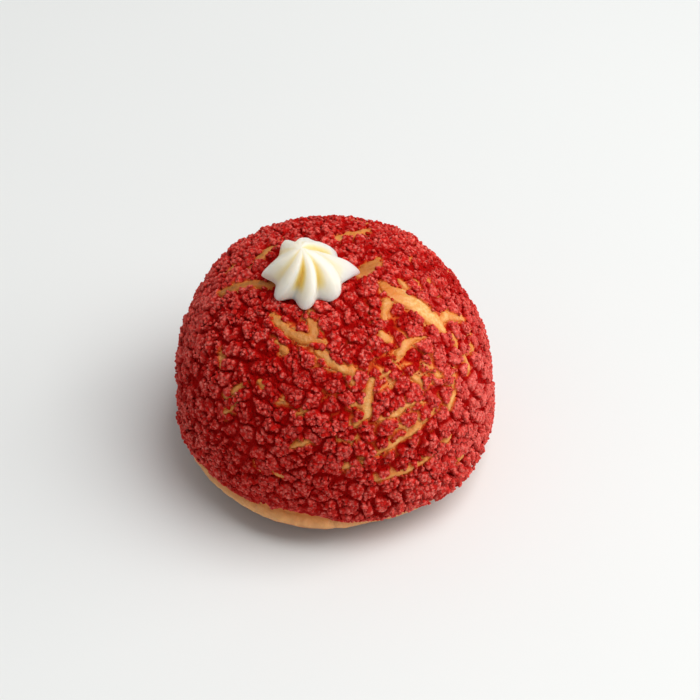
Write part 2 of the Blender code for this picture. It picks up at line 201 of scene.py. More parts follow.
def crack_edge(points):
    """How far each point lies outside the nearest crack's edge, below 0 inside it: the distance to a chain of
    stations along the crack, less half its width there, which tapers to the ends; the edge itself is ragged."""
    nearest = np.full(points.shape[:-1], 9.0)
    for width, path in CRACKS:
        bearing, drop = np.array(path, float).T
        knots = on_bun(np.radians(bearing), drop, 0.0)
        length = np.concatenate([[0], np.cumsum(np.linalg.norm(np.diff(knots, axis=0), axis=1))])
        share = np.linspace(0, 1, int(length[-1] / 0.4) + 3)
        chain = on_bun(
            np.radians(np.interp(share * length[-1], length, bearing)),
            np.interp(share * length[-1], length, drop),
            0.0,
        )
        half = width / 2 * (0.25 + 0.75 * np.sin(math.pi * np.clip(share, 0.02, 0.98)) ** 0.5)
        middle, reach = chain.mean(axis=0), np.linalg.norm(chain - chain.mean(axis=0), axis=1).max() + 4.0
        close = np.linalg.norm(points - middle, axis=-1) < reach
        away = np.linalg.norm(points[close][:, None] - chain[None], axis=2) - half[None]
        nearest[close] = np.minimum(nearest[close], away.min(axis=1))
    return nearest + 0.6 * rough(points, 2.2, 21) + 0.35 * rough(points, 1.0, 22)


def bell(turn, drop, bearing, middle_drop, wide, deep):
    """1 at this bearing and drop, fading smoothly to 0 over these many degrees and millimetres."""
    apart = (np.degrees(turn) - bearing + 180) % 360 - 180
    return np.exp(-((apart / wide) ** 2) - ((drop - middle_drop) / deep) ** 2)


def ringed_faces(rings, segments):
    """Quads between neighbouring rings that each close on themselves, and a fan to a pole at either end."""
    start = 1 + np.arange(rings - 1)[:, None] * segments
    here, after = np.arange(segments)[None], (np.arange(segments)[None] + 1) % segments
    quads = np.stack([start + here, start + segments + here, start + segments + after, start + after], axis=-1)
    last = 1 + rings * segments
    foot = last - segments
    fans = np.stack([0 * here[0], 1 + here[0], 1 + after[0]], axis=-1)
    end_fans = np.stack([0 * here[0] + last, foot + after[0], foot + here[0]], axis=-1)
    return quads.reshape(-1, 4).tolist() + fans.tolist() + end_fans.tolist()


def new_piece(name, points, faces, marks):
    """A smooth piece with these points (in millimetres) and faces, and these named values at its points."""
    mesh = bpy.data.meshes.new(name)
    mesh.from_pydata((np.asarray(points, float) * 0.001).tolist(), [], faces)
    for mark, values in marks.items():
        mesh.attributes.new(mark, "FLOAT", "POINT").data.foreach_set("value", np.asarray(values, np.float32).ravel())
    mesh.shade_smooth()
    piece = bpy.data.objects.new(name, mesh)
    bpy.context.scene.collection.objects.link(piece)
    return piece


CHOUX_RINGS, CHOUX_SEGMENTS, FOOT_RINGS = ((176, 430, 8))


def choux_surface():
    """The profile turned round: lift is the choux's own, plus a bulge in each crack, broad lumps and fine wrinkles
    round the belly; rings then run in flat across the foot.  Marks: stain, bake, the pale crack mark (pale where
    it broke open, painted paler where lit: painted light), shaded, below and lip."""
    turn = np.arange(CHOUX_SEGMENTS) * 2 * math.pi / CHOUX_SEGMENTS
    drop, turn = np.meshgrid(np.linspace(0, 1, CHOUX_RINGS + 1)[1:] * FOOT_DROP, turn, indexing="ij")
    place = on_bun(turn, drop, 0.0)
    edge = crack_edge(place)
    below = smooth_step(-0.5, 2.0, drop - edge_drop(turn))
    along = np.stack([place[..., 0] * 0.6, place[..., 1] * 0.6, place[..., 2] * 1.6], axis=-1)
    lift = choux_lift(turn, drop) + CRACK_SWELL * smooth_step(0.9, -0.2, edge) * (1 - below)
    lift += 0.12 * rough(place, 6.0, 31) + 0.07 * rough(place, 2.4, 32)
    lift += below * (0.16 * rough(along, 1.6, 33) + 0.08 * rough(along, 0.7, 34))
    front_bulge = np.exp(-(((np.degrees(turn) + 200) % 360 - 180) / 22) ** 2)
    lift += 0.5 * below * front_bulge * smooth_step(FOOT_DROP, FOOT_DROP - 12, drop)
    skin = on_bun(turn, drop, lift)
    skin[..., 2] = np.maximum(skin[..., 2] * (1 - smooth_step(FOOT_DROP - 2.5, FOOT_DROP, drop)), 0.0)
    inward = np.linspace(1, 0, FOOT_RINGS + 1)[1:-1, None, None]
    foot = skin[-1][None] * inward
    points = np.concatenate([on_bun(0.0, 0.0, -CHOUX_DEPTH)[None], skin.reshape(-1, 3), foot.reshape(-1, 3), [[0, 0, 0]]])
    stain = 0.8 * smooth_step(-1.3 + 0.8 * rough(place, 1.4, 35), 0.0, edge) * (1 - below)
    deep = 0.95 * bell(turn, drop, 97, 9, 28, 6) + 0.3 * bell(turn, drop, 158, 15, 25, 8)
    deep += 0.9 * bell(turn, drop, 70, 15, 9, 4) + 0.4 * bell(turn, drop, -12, 15, 10, 4)
    stain = np.maximum(stain, deep * (1 - below))
    lip = 0.8 * below * smooth_step(2.9, 1.5, drop - edge_drop(turn) + 0.5 * rough(place, 1.8, 36))
    bake = smooth_step(1.8, 6.0, drop - edge_drop(turn)) + 0.55 * bell(turn, drop, 97, 9, 26, 6) * (1 - below)
    # Painted light: the crack choux is painted paler where the window light falls, on the right, and along the left
    # streaks.
    lit = np.maximum(bell(turn, drop, 72, 22, 18, 13), 0.95 * bell(turn, drop, 42, 38, 34, 17))
    lit_split = smooth_step(0.0, -0.5, edge) * np.maximum(lit, 0.6 * bell(turn, drop, -42, 39, 14, 12)) * (1 - below)
    shaded = np.maximum(bell(turn, drop, -95, 22, 40, 22), 0.25 * bell(turn, drop, 150, 12, 60, 10))
    shaded = np.maximum(shaded, 0.5 * bell(turn, drop, -22, 20, 28, 12)) * (1 - below)
    marks = {}
    for mark, values, at_foot in (
        ("stain", stain, 0.0),
        ("bake", bake, 1.0),
        ("lit_split", lit_split, 0.0),
        ("shaded", shaded, 0.0),
        ("below", below, 1.0),
        ("lip", lip, 0.0),
    ):
        filled = np.full(len(points), at_foot)
        filled[1 : 1 + values.size] = values.ravel()
        marks[mark] = filled
    return points, ringed_faces(CHOUX_RINGS + FOOT_RINGS - 1, CHOUX_SEGMENTS), marks


def shader(name, roughness, specular):
    """A new material with only its Principled surface, its roughness and specular level set."""
    material = bpy.data.materials.new(name)
    material.use_nodes = True
    surface = material.node_tree.nodes["Principled BSDF"]
    surface.inputs["Roughness"].default_value = roughness
    surface.inputs["Specular IOR Level"].default_value = specular
    return material, surface


def add_node(material, kind, **values):
    """A node of this kind in the material, with its settings and then its inputs set by name."""
    node = material.node_tree.nodes.new("ShaderNode" + kind)
    for key, value in values.items():
        if hasattr(node, key):
            setattr(node, key, value)
        else:
            node.inputs[key.replace("_", " ")].default_value = value
    return node


def mark_value(material, name):
    """The output of a node that reads this named value from the mesh."""
    return add_node(material, "Attribute", attribute_name=name).outputs["Fac"]


def grain_group():
    """Grain, for every material: noise whose features are Size millimetres wide, spread so that Low..High
    becomes 0..1."""
    group = bpy.data.node_groups.new("grain", "ShaderNodeTree")
    group.interface.new_socket("Place", in_out="INPUT", socket_type="NodeSocketVector")
    for name in ("Size", "Detail", "Low", "High"):
        group.interface.new_socket(name, in_out="INPUT", socket_type="NodeSocketFloat")
    group.interface.new_socket("Grain", in_out="OUTPUT", socket_type="NodeSocketFloat")
    start = group.nodes.new("NodeGroupInput").outputs
    scale = group.nodes.new("ShaderNodeMath")
    scale.operation = "DIVIDE"
    scale.inputs[0].default_value = 1000.0
    noise = group.nodes.new("ShaderNodeTexNoise")
    spread = group.nodes.new("ShaderNodeMapRange")
    group.links.new(start["Size"], scale.inputs[1])
    group.links.new(start["Place"], noise.inputs["Vector"])
    group.links.new(scale.outputs[0], noise.inputs["Scale"])
    group.links.new(start["Detail"], noise.inputs["Detail"])
    group.links.new(noise.outputs["Fac"], spread.inputs["Value"])
    group.links.new(start["Low"], spread.inputs["From Min"])
    group.links.new(start["High"], spread.inputs["From Max"])
    group.links.new(spread.outputs["Result"], group.nodes.new("NodeGroupOutput").inputs["Grain"])
    return group


GRAIN = grain_group()


def grain_of(material, size, low=0.0, high=1.0, detail=3.0):
    """The grain effect, placed in this material with its own size, range and detail."""
    node = material.node_tree.nodes.new("ShaderNodeGroup")
    node.node_tree = GRAIN
    material.node_tree.links.new(add_node(material, "TexCoord").outputs["Object"], node.inputs["Place"])
    for name, value in (("Size", size), ("Detail", detail), ("Low", low), ("High", high)):
        node.inputs[name].default_value = value
    return node.outputs["Grain"]


def ranged(material, value, low, high):
    """The value mapped evenly from low..high to 0..1 and held there outside it."""
    node = add_node(material, "MapRange", From_Min=low, From_Max=high)
    material.node_tree.links.new(value, node.inputs["Value"])
    return node.outputs["Result"]


def blended(material, share, first, second):
    """The first colour (or output) turning into the second as share goes from 0 to 1."""
    node = add_node(material, "Mix", data_type="RGBA")
    for socket, value in ((node.inputs["Factor"], share), (node.inputs["A"], None), (node.inputs["B"], None)):
        if value is not None:
            material.node_tree.links.new(value, socket)
    for socket, value in ((node.inputs[6], first), (node.inputs[7], second)):
        if isinstance(value, tuple):
            socket.default_value = (*value, 1.0)
        else:
            material.node_tree.links.new(value, socket)
    return node.outputs[2]


def bumped(material, surface, height, distance, strength=1.0):
    """Gives the surface a bump this many millimetres deep from the height value."""
    bump = add_node(material, "Bump", Distance=distance * 0.001, Strength=strength)
    material.node_tree.links.new(height, bump.inputs["Height"])
    material.node_tree.links.new(bump.outputs["Normal"], surface.inputs["Normal"])


baked_choux, surface = shader("baked_choux", 0.5, 0.4)
surface.inputs["Subsurface Weight"].default_value = 0.25
surface.inputs["Subsurface Radius"].default_value = (1.0, 0.45, 0.15)
surface.inputs["Subsurface Scale"].default_value = 0.0015
patches = grain_of(baked_choux, 3.0, 0.35, 0.65)
specks = grain_of(baked_choux, 0.8, 0.38, 0.62)
golden = blended(baked_choux, patches, (0.54, 0.17, 0.018), (0.80, 0.39, 0.11))
golden = blended(baked_choux, ranged(baked_choux, specks, 0.0, 1.4), golden, (0.76, 0.34, 0.085))
# The pale crack colour is painted light, laid on where the cracks are lit.
pale = blended(baked_choux, specks, (0.74, 0.34, 0.075), (0.86, 0.52, 0.20))
golden = blended(baked_choux, mark_value(baked_choux, "lit_split"), golden, pale)
golden = blended(baked_choux, mark_value(baked_choux, "shaded"), golden, (0.35, 0.13, 0.025))
golden = blended(baked_choux, mark_value(baked_choux, "stain"), golden, (0.67, 0.19, 0.02))
rind = blended(baked_choux, patches, (0.45, 0.125, 0.028), (0.60, 0.21, 0.058))
golden = blended(baked_choux, mark_value(baked_choux, "below"), golden, rind)
golden = blended(baked_choux, mark_value(baked_choux, "lip"), golden, (0.84, 0.44, 0.17))
golden = blended(baked_choux, mark_value(baked_choux, "bake"), golden, (0.28, 0.085, 0.014))
baked_choux.node_tree.links.new(golden, surface.inputs["Base Color"])
bumped(baked_choux, surface, grain_of(baked_choux, 1.2, detail=4.0), 0.8, 0.7)

choux = new_piece("choux_skin", *choux_surface())
choux.data.materials.append(baked_choux)
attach(choux, "root")
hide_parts("choux_bun")

# ---------------------------------------------------------------------------------------------------------------
# The craquelin crust: a disc of red sugar and butter dough laid on the raw bun.  It crisped as the bun swelled,
# and broke into clusters of crumbs with dark clefts between them and open cracks where it pulled apart.
# ---------------------------------------------------------------------------------------------------------------
CLUSTER, CLUMP, CRUMB = 4.3, 2.1, 1.1
CRUST_TOP, FLOOR_LIFT, SETTLE = 0.2, -0.85, 0.55
CRUST_GRID = 390
CRUST_FACES = 190000


def crumbs_in_row(row, size):
    """How many whole crumbs of this size fit round a row: rows are a crumb apart down the profile."""
    return np.maximum(3, np.round(2 * math.pi * np.interp((row + 0.5) * size, DROP, RADIUS) / size)).astype(np.int64)


def crumb_middle(row, column, size, seed):
    """The turn and drop of a crumb's middle: an even place in its row, every other row shifted, then strayed."""
    count = crumbs_in_row(row, size)
    stray = [scatter(seed, row, column % count, axis) - 0.5 for axis in (1, 2)]
    turn = (column + 0.5 + 0.5 * (row % 2) + 0.75 * stray[0]) * 2 * math.pi / count
    return turn, (row + 0.5 + 0.75 * stray[1]) * size


def crumbs_near(turn, drop, size, seed):
    """Distances to the nearest and the second nearest crumb middle, in crumb sizes, and a random value of the
    nearest crumb: each place looks at three crumbs in each of three rows."""
    turn = turn % (2 * math.pi)
    ring = np.maximum(np.interp(drop, DROP, RADIUS), 0.3)
    nearest, second, own = np.full(turn.shape, 9.0), np.full(turn.shape, 9.0), np.zeros(turn.shape)
    for row_step in (-1, 0, 1):
        row = np.maximum(np.floor(drop / size).astype(np.int64) + row_step, 0)
        count = crumbs_in_row(row, size)
        column = np.floor(turn * count / (2 * math.pi) - 0.5 * (row % 2)).astype(np.int64)
        for column_step in (-1, 0, 1):
            middle_turn, middle_drop = crumb_middle(row, column + column_step, size, seed)
            away = np.hypot((turn - middle_turn) * ring, drop - middle_drop) / size
            away = np.where((row_step < 0) & (drop < size), 9.0, away)
            closer = away < nearest
            second = np.where(closer, nearest, np.minimum(second, away))
            own = np.where(closer, scatter(seed, row, (column + column_step) % count, 3), own)
            nearest = np.where(closer, away, nearest)
    return nearest, second, own


def crust_shape(turn, drop):
    """The crust's outer lift, its marks, and where it is open.  A thin floor lies on the choux.  Clusters stand on
    it: cells with steep sides, whose gaps widen and close at random so that neighbours join; winding creases and
    clefts cut them, and every crumb is a low dome.  Near a crack and where the crust was pulled, gaps are wide
    and the floor is thin; low on the bun and down its left side the crust stayed whole, with narrow gaps."""
    place = on_bun(turn, drop, 0.0)
    ring = np.maximum(np.interp(drop, DROP, RADIUS), 1.0)
    sway = [1.2 * rough(place, 4.4, 41 + axis) + 0.6 * rough(place, 1.7, 43 + axis) for axis in (0, 1)]
    near, after, own = crumbs_near(turn + sway[0] / ring, drop + sway[1], CLUSTER, 3)
    small_near, small_after, small_own = crumbs_near(turn + sway[1] / ring, drop + sway[0], CLUMP, 5)
    tiny_near = crumbs_near(turn, drop, CRUMB, 7)[0]
    whole = np.maximum(smooth_step(50, 62, drop), bell(turn, drop, -88, 45, 28, 26))
    whole = np.maximum(whole, 0.9 * bell(turn, drop, 80, 52, 40, 20))
    pulled = np.maximum(bell(turn, drop, 45, 33, 38, 17), 0.6 * bell(turn, drop, 150, 36, 45, 18))
    pulled = np.maximum(pulled, 0.6 * bell(turn, drop, -10, 25, 25, 12)) * (1 - whole)
    rift = after - near
    edge = crack_edge(place) + 0.9 * (np.minimum(rift, 0.5) - 0.25)
    low = smooth_step(36, 50, drop)
    gap = (0.06 + 0.05 * pulled - 0.02 * whole + 0.04 * low) * np.clip(1 + 3.0 * rough(place, 3.1, 45), 0, 2.3)
    spiral = np.stack([turn * 30 - 0.45 * drop, 0.4 * drop, 0 * drop], axis=-1)
    long_cleft = smooth_step(0.1, 0.42, rough(spiral, 1.3, 54)) * bell(turn, drop, -70, 38, 34, 24)
    crease = np.abs(rough(place, 2.7, 51) + 0.35 * rough(place, 1.1, 52))
    crease = (1 - smooth_step(0.0, 0.17, crease)) * smooth_step(-0.5, 0.2, rough(place, 3.9, 53))
    island = smooth_step(gap, gap + 0.15, rift) * smooth_step(-0.15, 0.2, edge)
    top = CRUST_TOP + 0.14 * rough(place, 11.0, 47) + (0.45 - 0.25 * whole) * (own - 0.5)
    top = top + 0.7 * bell(turn, drop, 33, 64, 20, 7) + 1.0 * bell(turn, drop, -72, 65, 20, 7)
    top = top + 0.8 * bell(turn, drop, 138, 31, 12, 8) - 0.4 * bell(turn, drop, 112, 34, 12, 10)
    top = top + 0.6 * bell(turn, drop, -129, 32, 12, 8) + 1.0 * bell(turn, drop, 51, 66, 14, 6)
    top = top - 0.4 * (1 - 0.6 * whole) * np.minimum(near, 0.8) ** 2 - 1.0 * long_cleft
    top -= 0.3 * (1 - 0.35 * whole) * (1 - smooth_step(0.0, 0.25, small_after - small_near))
    top += 0.22 * (small_own - 0.5) - 0.15 * (tiny_near / 0.6) ** 2
    top -= (0.7 + 0.2 * low) * crease
    top -= 0.75 * smooth_step(0.5, 0.75, rough(place, 1.7, 48))
    floor = FLOOR_LIFT + 0.24 * rough(place, 1.3, 49) - 0.35 * (1 - pulled) * (1 - smooth_step(0.0, 0.15, rift))
    lift = floor + island * (np.maximum(top, floor) - floor)
    past_edge = drop - edge_drop(turn)
    feather = smooth_step(-5.0, 0.0, past_edge)
    lift = lift * (1 - 0.4 * feather) - 0.2 * feather - SETTLE * smooth_step(50, 60, drop)
    lift = np.maximum(lift, choux_lift(turn, drop) + 0.35)
    opened = smooth_step(-0.1, -0.45, edge) * (1 - smooth_step(-2.5, -1.0, past_edge))
    opened *= 1 - smooth_step(9.6, 8.4, np.linalg.norm(place - on_bun(*STAR_PLACE, 0.0), axis=-1))
    patchy = rough(place, 2.6, 50)
    seam = (1 - smooth_step(0.02, 0.3, rift)) * smooth_step(-0.1, 0.5, patchy + 0.3 * pulled - 0.1)
    near_crack = smooth_step(1.2 + 1.1 * patchy, -0.1, edge)
    thin = np.maximum(near_crack, pulled * seam) * (1 - 0.85 * island * smooth_step(-0.3, 0.2, edge))
    lift = lift - opened * (lift - choux_lift(turn, drop) + 0.8)
    # Sugar bloom and painted shade: high crust is painted pale pink, the low floor and clefts a deep dark red that
    # stands for shade.
    bloom_and_shade = smooth_step(FLOOR_LIFT - 0.1, 0.2, lift + SETTLE * smooth_step(50, 60, drop))
    # Flattened, bare plates at the right and left sides and low down; the same value paints those sides pinker, a
    # painted sheen.
    bare_and_sheen = np.maximum(0.85 * bell(turn, drop, 74, 48, 24, 22), 0.6 * bell(turn, drop, -95, 45, 22, 26))
    bare_and_sheen = np.maximum(bare_and_sheen, 0.25 * smooth_step(60, 68, drop))
    # Painted shade: the low front is painted darker, where less light reaches.
    bloom_and_shade *= 1 - 0.16 * bell(turn, drop, -18, 53, 32, 14)
    firm = island * (1 - 0.9 * long_cleft) * (1 - 0.45 * crease)
    return lift, {"bloom_and_shade": bloom_and_shade, "thin": thin, "bare_and_sheen": bare_and_sheen, "firm": firm}, opened


STAR_PLACE = (math.radians(-59.0), 4.3)


def crust_sheet():
    """A square grid folded evenly into a disc, laid over the bun as deep as the crust's edge, its outer skin at
    the crust's lift and its inner skin below; faces that are open on both skins are left out, and every free
    edge gets a wall."""
    side = np.linspace(-1, 1, CRUST_GRID + 1) + 1e-9
    across, deep = np.meshgrid(side, side, indexing="ij")
    wide = np.abs(across) >= np.abs(deep)
    away = np.where(wide, across, deep)
    angle = np.where(wide, math.pi / 4 * deep / across, math.pi / 2 - math.pi / 4 * across / deep)
    x, y = away * np.cos(angle), away * np.sin(angle)
    turn = np.arctan2(x, -y)
    drop = np.hypot(x, y) * edge_drop(turn)
    lift, marks, opened = crust_shape(turn, drop)
    inner_lift = np.minimum(choux_lift(turn, drop) - 0.6, lift - 0.25)
    count = across.size
    points = np.concatenate([on_bun(turn, drop, lift).reshape(-1, 3), on_bun(turn, drop, inner_lift).reshape(-1, 3)])
    index = np.arange(count).reshape(across.shape)
    quads = np.stack([index[:-1, :-1], index[1:, :-1], index[1:, 1:], index[:-1, 1:]], axis=-1)
    sunk = opened > 0.9
    kept = ~(sunk[:-1, :-1] & sunk[1:, :-1] & sunk[1:, 1:] & sunk[:-1, 1:])
    for _ in range(3):
        falling = kept[:-1, :-1] & kept[1:, 1:] & ~kept[1:, :-1] & ~kept[:-1, 1:]
        rising = ~kept[:-1, :-1] & ~kept[1:, 1:] & kept[1:, :-1] & kept[:-1, 1:]
        kept[1:, :-1] |= falling
        kept[:-1, 1:] |= falling
        kept[:-1, :-1] |= rising
        kept[1:, 1:] |= rising
    quads = quads[kept]
    sides = np.concatenate([quads[:, [k, (k + 1) % 4]] for k in range(4)])
    key, mirrored = sides[:, 0] * count + sides[:, 1], sides[:, 1] * count + sides[:, 0]
    free = sides[~np.isin(key, mirrored)]
    walls = np.stack([free[:, 1], free[:, 0], free[:, 0] + count, free[:, 1] + count], axis=-1)
    faces = np.concatenate([quads, quads[:, ::-1] + count, walls])
    used, faces = np.unique(faces, return_inverse=True)
    marks = {mark: np.tile(values.ravel(), 2)[used] for mark, values in marks.items()}
    return points[used], faces.reshape(-1, 4).tolist(), marks


def thinned(piece, faces):
    """The piece with its mesh thinned to about this many triangles, fewest where it is flattest."""
    count = 2 * len(piece.data.polygons)
    if count > faces:
        thin = piece.modifiers.new("thin", "DECIMATE")
        thin.ratio = faces / count
        thin.use_collapse_triangulate = True
        mesh = bpy.data.meshes.new_from_object(piece.evaluated_get(bpy.context.evaluated_depsgraph_get()))
        piece.modifiers.remove(thin)
        piece.data = mesh
        mesh.name = piece.name
        mesh.shade_smooth()
    return piece


red_crumb, surface = shader("red_crumb", 0.8, 0.04)
surface.inputs["Subsurface Weight"].default_value = 0.35
surface.inputs["Subsurface Radius"].default_value = (1.0, 0.15, 0.12)
surface.inputs["Subsurface Scale"].default_value = 0.0007
surface.inputs["Sheen Weight"].default_value = 0.04
surface.inputs["Sheen Roughness"].default_value = 0.4
surface.inputs["Sheen Tint"].default_value = (1.0, 0.62, 0.55, 1.0)
place = add_node(red_crumb, "TexCoord").outputs["Object"]
swirl = add_node(red_crumb, "TexNoise", Scale=1000.0 / 0.9, Detail=2.0)
strayed = add_node(red_crumb, "VectorMath", operation="MULTIPLY_ADD")
strayed.inputs[1].default_value = (0.0008, 0.0008, 0.0008)
bead = add_node(red_crumb, "TexVoronoi", Scale=1000.0 / 0.95, Randomness=1.0)
red_crumb.node_tree.links.new(place, swirl.inputs["Vector"])
red_crumb.node_tree.links.new(swirl.outputs["Color"], strayed.inputs[0])
red_crumb.node_tree.links.new(place, strayed.inputs[2])
red_crumb.node_tree.links.new(strayed.outputs["Vector"], bead.inputs["Vector"])
bead_top = ranged(red_crumb, bead.outputs["Distance"], 0.68, 0.36)
patch = grain_of(red_crumb, 5.0, 0.35, 0.65)
glint = grain_of(red_crumb, 0.55, 0.42, 0.68)
# The crust's height value paints tops pale pink (sugar bloom) and hollows deep dark red (painted shade).
high = ranged(red_crumb, mark_value(red_crumb, "bloom_and_shade"), 0.3, 1.0)
top = blended(red_crumb, patch, (0.72, 0.052, 0.040), (0.79, 0.09, 0.068))
# Painted highlight: pale pink glints scattered over the crumb tops.
top = blended(red_crumb, glint, top, (0.86, 0.225, 0.185))
# Painted shade and highlight: each bead's middle takes the pale top colour, the seams between beads a painted dark red
# shade.
top = blended(red_crumb, bead_top, (0.52, 0.010, 0.007), top)
# Painted sheen: the bare plates at the sides are painted pinker.
bare_and_sheen = ranged(red_crumb, mark_value(red_crumb, "bare_and_sheen"), 0.0, 1.4)
top = blended(red_crumb, bare_and_sheen, top, (0.84, 0.17, 0.14))
red = blended(red_crumb, high, (0.38, 0.0015, 0.001), top)
thin = mark_value(red_crumb, "thin")
red = blended(red_crumb, ranged(red_crumb, thin, 0.1, 0.6), red, (0.72, 0.13, 0.022))
red = blended(red_crumb, ranged(red_crumb, thin, 0.5, 0.95), red, (0.82, 0.40, 0.14))
red_crumb.node_tree.links.new(red, surface.inputs["Base Color"])
bumped(red_crumb, surface, bead_top, 0.22, 0.9)

crust = thinned(new_piece("craquelin", *crust_sheet()), CRUST_FACES)
crust.data.materials.append(red_crumb)
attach(crust, "root")
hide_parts("craquelin_crust")


# ---------------------------------------------------------------------------------------------------------------
# The crumbs of the craquelin: grains of baked sugar dough that stand on its clusters, each a little lump of its
# own size and turn.  The large, the middling and the small ones are three kinds, each one piece.
# ---------------------------------------------------------------------------------------------------------------
def crumb_places(size, seed):
    """The turn and drop of every crumb middle on the crust, row by row, and a random value for each."""
    rows = np.arange(int(EDGE_DROP / size) + 1)
    row = np.repeat(rows, crumbs_in_row(rows, size))
    column = np.concatenate([np.arange(n) for n in crumbs_in_row(rows, size)])
    turn, drop = crumb_middle(row, column, size, seed)
    return turn, drop, scatter(seed, row, column, 3)


def lumps(middles, normals, sizes, rings, columns, seed):
    """One lump at each middle: a ball in rings and columns whose points stray in and out, squashed along its
    normal, stretched across it and turned at random.  Returns points, faces and each point's height in its lump."""
    random = np.random.default_rng(seed)
    count = len(middles)
    polar = np.linspace(0, math.pi, rings + 2)[1:-1]
    around = np.arange(columns) * 2 * math.pi / columns
    ball = np.stack(
        [
            np.outer(np.sin(polar), np.cos(around)),
            np.outer(np.sin(polar), np.sin(around)),
            np.outer(np.cos(polar), np.ones(columns)),
        ],
        axis=-1,
    ).reshape(-1, 3)
    ball = np.concatenate([[[0, 0, 1.0]], ball, [[0, 0, -1.0]]])
    shape = ball[None] * (1 + random.uniform(-0.2, 0.2, (count, len(ball), 1)))
    shape = shape * random.uniform(0.8, 1.25, (count, 1, 3)) * [1.0, 1.0, 0.8]
    spin = random.uniform(0, 2 * math.pi, count)
    side = np.cross(normals, np.stack([np.cos(spin), np.sin(spin), 0.3 * np.sin(3 * spin)], axis=-1))
    side /= np.linalg.norm(side, axis=1)[:, None]
    other = np.cross(normals, side)
    axes = np.stack([side, other, normals], axis=1)
    points = middles[:, None] + np.einsum("gpk,gkx->gpx", shape * sizes[:, None, None], axes)
    pattern = np.array([f if len(f) == 4 else f + [-1] for f in ringed_faces(rings, columns)])
    step = np.arange(count)[:, None, None] * len(ball)
    placed = np.where(pattern[None] < 0, -1, pattern[None] + step).reshape(-1, 4)
    faces = placed[placed[:, 3] >= 0].tolist() + placed[placed[:, 3] < 0][:, :3].tolist()
    return points.reshape(-1, 3), faces, shape[..., 2].ravel()


def crumb_piece(name, size, seed, least, reach, radius, rings, columns):
    """Lumps on the crust at the middles of crumbs of this size, where the crust is not open, sunk part way in: on
    the clusters, and higher up some also between them."""
    turn, drop, own = crumb_places(size, seed)
    lift, marks, opened = crust_shape(turn, drop)
    standing = marks["firm"] + 0.3 * smooth_step(44, 36, drop)
    keep = (own > least) & (opened < 0.05) & (drop < edge_drop(turn) - 1.1) & (standing > reach - own)
    turn, drop, lift, own = turn[keep], drop[keep], lift[keep], own[keep]
    sizes = radius * (0.7 + 0.6 * scatter(seed, np.arange(len(turn)), 5)) * (1 - 0.35 * marks["bare_and_sheen"][keep])
    sizes *= 0.9 + 0.2 * rough(on_bun(turn, drop, 0.0), 5.0, 55)
    normals = on_bun(turn, drop, 1.0) - on_bun(turn, drop, 0.0)
    normals /= np.linalg.norm(normals, axis=1)[:, None]
    points, faces, height = lumps(on_bun(turn, drop, lift - 0.27 * sizes), normals, sizes, rings, columns, seed)
    per_lump = len(points) // len(turn)
    # Painted shade: each lump is painted darker towards its underside; high crust stays pale with sugar bloom.
    bloom_and_shade = np.repeat(marks["bloom_and_shade"][keep], per_lump) * (0.62 + 0.38 * height) + 0.1 * (np.repeat(own, per_lump) - 0.5)
    thin = np.repeat(marks["thin"][keep], per_lump) * 0.3
    bare_and_sheen = np.repeat(marks["bare_and_sheen"][keep], per_lump)
    return new_piece(name, points, faces, {"bloom_and_shade": bloom_and_shade, "thin": thin, "bare_and_sheen": bare_and_sheen})


for name, size, seed, least, reach, radius, rings, columns in (
    ("large_crumbs", 1.7, 15, 0.25, 1.45, 0.65, 3, 7),
    ("crumbs", CRUMB, 7, 0.3, 1.25, 0.50, 3, 5),
    ("small_crumbs", 0.8, 9, 0.55, 1.0, 0.34, 2, 5),
):
    crumbs = crumb_piece(name, size, seed, least, reach, radius, rings, columns)
    crumbs.data.materials.append(red_crumb)
    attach(crumbs, "root")

# ---------------------------------------------------------------------------------------------------------------
# The cream star: firm cream pressed through a small eight-point nozzle and drawn off, so that its rounded ridges
# close in a low twisted tip.  Its foot sits in the crust beside the crown.
# ---------------------------------------------------------------------------------------------------------------
STAR_HEIGHT, STAR_TWIST, STAR_DRIFT = 8.2, math.radians(34), (-1.6, 0.1)
STAR_FOOT_LIFT, STAR_WIDEST, STAR_ROUNDNESS = 0.1, 0.14, 1.5
# Each ridge: its bearing, its reach at the foot, its roundness (1 is a sharp edge), and how deep the valley
# after it is, as a share of the reach, at the foot and half way up.
STAR_RIDGES = (
    (-95.0, 10.8, 1.2, 0.22, 0.22),
    (-47.0, 10.4, 2.2, 0.12, 0.44),
    (-7.0, 11.0, 2.6, 0.15, 0.34),
    (33.0, 10.4, 2.4, 0.26, 0.20),
    (85.0, 12.0, 0.7, 0.24, 0.34),
    (133.0, 8.9, 1.5, 0.14, 0.30),
    (164.0, 9.8, 1.6, 0.07, 0.20),
    (196.0, 10.7, 1.8, 0.14, 0.26),
)


